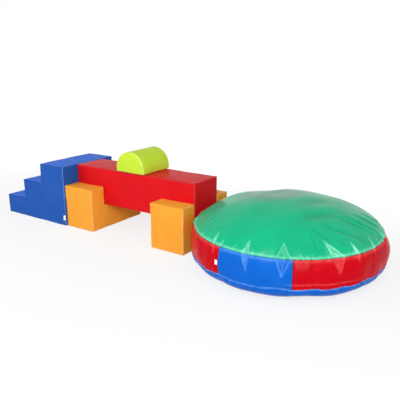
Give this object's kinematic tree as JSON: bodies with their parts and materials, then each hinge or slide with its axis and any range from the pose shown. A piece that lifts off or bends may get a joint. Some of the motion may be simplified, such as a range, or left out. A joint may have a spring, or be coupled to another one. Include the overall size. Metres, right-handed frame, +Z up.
{
  "type": "soft play obstacle course",
  "caption": "Soft foam play course: steps up to a beam held in two notched cradles, with a half-round hump on the beam and a large round cushion to land on.",
  "frame": {"origin": "middle of the whole course on the floor", "axes": "+X along the course from the steps to the cushion, +Z up, the pictured front faces -Y"},
  "size_m": [3.2555, 1.3046, 0.6656],
  "materials": {
    "blue_vinyl": "PVC-coated cloth, satin",
    "red_vinyl": "PVC-coated cloth, satin",
    "orange_vinyl": "PVC-coated cloth, satin",
    "lime_vinyl": "PVC-coated cloth, satin",
    "green_gloss_vinyl": "soft PVC-coated cloth, glossy",
    "red_gloss_vinyl": "soft PVC-coated cloth, glossy",
    "blue_gloss_vinyl": "soft PVC-coated cloth, glossy",
    "foam": "open-cell polyurethane foam",
    "filling": "loose foam crumb",
    "zip_tape": "woven zip tape with moulded teeth",
    "zip_slider": "moulded slider without a puller",
    "label_cloth": "blank woven tab"
  },
  "bodies": {
    "steps": {"steps_back_panel": "blue_vinyl", "steps_base_panel": "blue_vinyl", "steps_end_panel": "blue_vinyl", "steps_foam_1": "foam", "steps_foam_2": "foam", "steps_foam_3": "foam", "steps_front_panel": "blue_vinyl", "steps_label": "label_cloth", "steps_tread_panel": "blue_vinyl", "steps_zip": "zip_tape"},
    "steps_zip_slider": {"steps_zip_slider": "zip_slider"},
    "beam": {"beam_back_panel": "red_vinyl", "beam_base_panel": "red_vinyl", "beam_foam": "foam", "beam_front_panel": "red_vinyl", "beam_left_end_panel": "red_vinyl", "beam_right_end_panel": "red_vinyl", "beam_top_panel": "red_vinyl", "beam_zip": "zip_tape"},
    "beam_zip_slider": {"beam_zip_slider": "zip_slider"},
    "left_cradle": {"left_cradle_base_panel": "orange_vinyl", "left_cradle_foam_back": "foam", "left_cradle_foam_base": "foam", "left_cradle_foam_front": "foam", "left_cradle_left_side_panel": "orange_vinyl", "left_cradle_right_side_panel": "orange_vinyl", "left_cradle_wrap_panel": "orange_vinyl", "left_cradle_zip": "zip_tape"},
    "left_cradle_zip_slider": {"left_cradle_zip_slider": "zip_slider"},
    "right_cradle": {"right_cradle_base_panel": "orange_vinyl", "right_cradle_foam_back": "foam", "right_cradle_foam_base": "foam", "right_cradle_foam_front": "foam", "right_cradle_left_side_panel": "orange_vinyl", "right_cradle_right_side_panel": "orange_vinyl", "right_cradle_wrap_panel": "orange_vinyl", "right_cradle_zip": "zip_tape"},
    "right_cradle_zip_slider": {"right_cradle_zip_slider": "zip_slider"},
    "half_round": {"half_round_back_panel": "lime_vinyl", "half_round_base_panel": "lime_vinyl", "half_round_curved_panel": "lime_vinyl", "half_round_foam": "foam", "half_round_front_panel": "lime_vinyl", "half_round_zip": "zip_tape"},
    "half_round_zip_slider": {"half_round_zip_slider": "zip_slider"},
    "cushion": {"cushion_base_panel": "blue_gloss_vinyl", "cushion_blue_panel_1": "blue_gloss_vinyl", "cushion_blue_panel_2": "blue_gloss_vinyl", "cushion_filling": "filling", "cushion_label": "label_cloth", "cushion_red_panel_1": "red_gloss_vinyl", "cushion_red_panel_2": "red_gloss_vinyl", "cushion_top_panel": "green_gloss_vinyl", "cushion_zip": "zip_tape"},
    "cushion_zip_slider": {"cushion_zip_slider": "zip_slider"}
  },
  "joints": [
    {"name": "steps_pull_away", "type": "slide", "parent": "left_cradle", "child": "steps", "axis": [1, 0, 0], "range_m": [-0.4, 0]},
    {"name": "beam_lift", "type": "slide", "parent": "left_cradle", "child": "beam", "axis": [0, 0, 1], "range_m": [0, 0.25]},
    {"name": "half_round_lift", "type": "slide", "parent": "beam", "child": "half_round", "axis": [0, 0, 1], "range_m": [0, 0.2]},
    {"name": "right_cradle_slide", "type": "slide", "parent": "left_cradle", "child": "right_cradle", "axis": [1, 0, 0], "range_m": [-0.5, 0]},
    {"name": "cushion_pull_away", "type": "slide", "parent": "left_cradle", "child": "cushion", "axis": [1, 0, 0], "range_m": [0, 0.5]},
    {"name": "steps_zip_travel", "type": "slide", "parent": "steps", "child": "steps_zip_slider", "axis": [-1, 0, 0], "range_m": [0, 0.6554]},
    {"name": "beam_zip_travel", "type": "slide", "parent": "beam", "child": "beam_zip_slider", "axis": [-1, 0, 0], "range_m": [0, 1.1054]},
    {"name": "left_cradle_zip_travel", "type": "slide", "parent": "left_cradle", "child": "left_cradle_zip_slider", "axis": [0, -1, 0], "range_m": [0, 0.4954]},
    {"name": "right_cradle_zip_travel", "type": "slide", "parent": "right_cradle", "child": "right_cradle_zip_slider", "axis": [0, -1, 0], "range_m": [0, 0.4954]},
    {"name": "half_round_zip_travel", "type": "slide", "parent": "half_round", "child": "half_round_zip_slider", "axis": [0, 1, 0], "range_m": [0, 0.2054]},
    {"name": "cushion_zip_travel", "type": "slide", "parent": "cushion", "child": "cushion_zip_slider", "axis": [-1, 0, 0], "range_m": [0, 0.6854]}
  ]
}
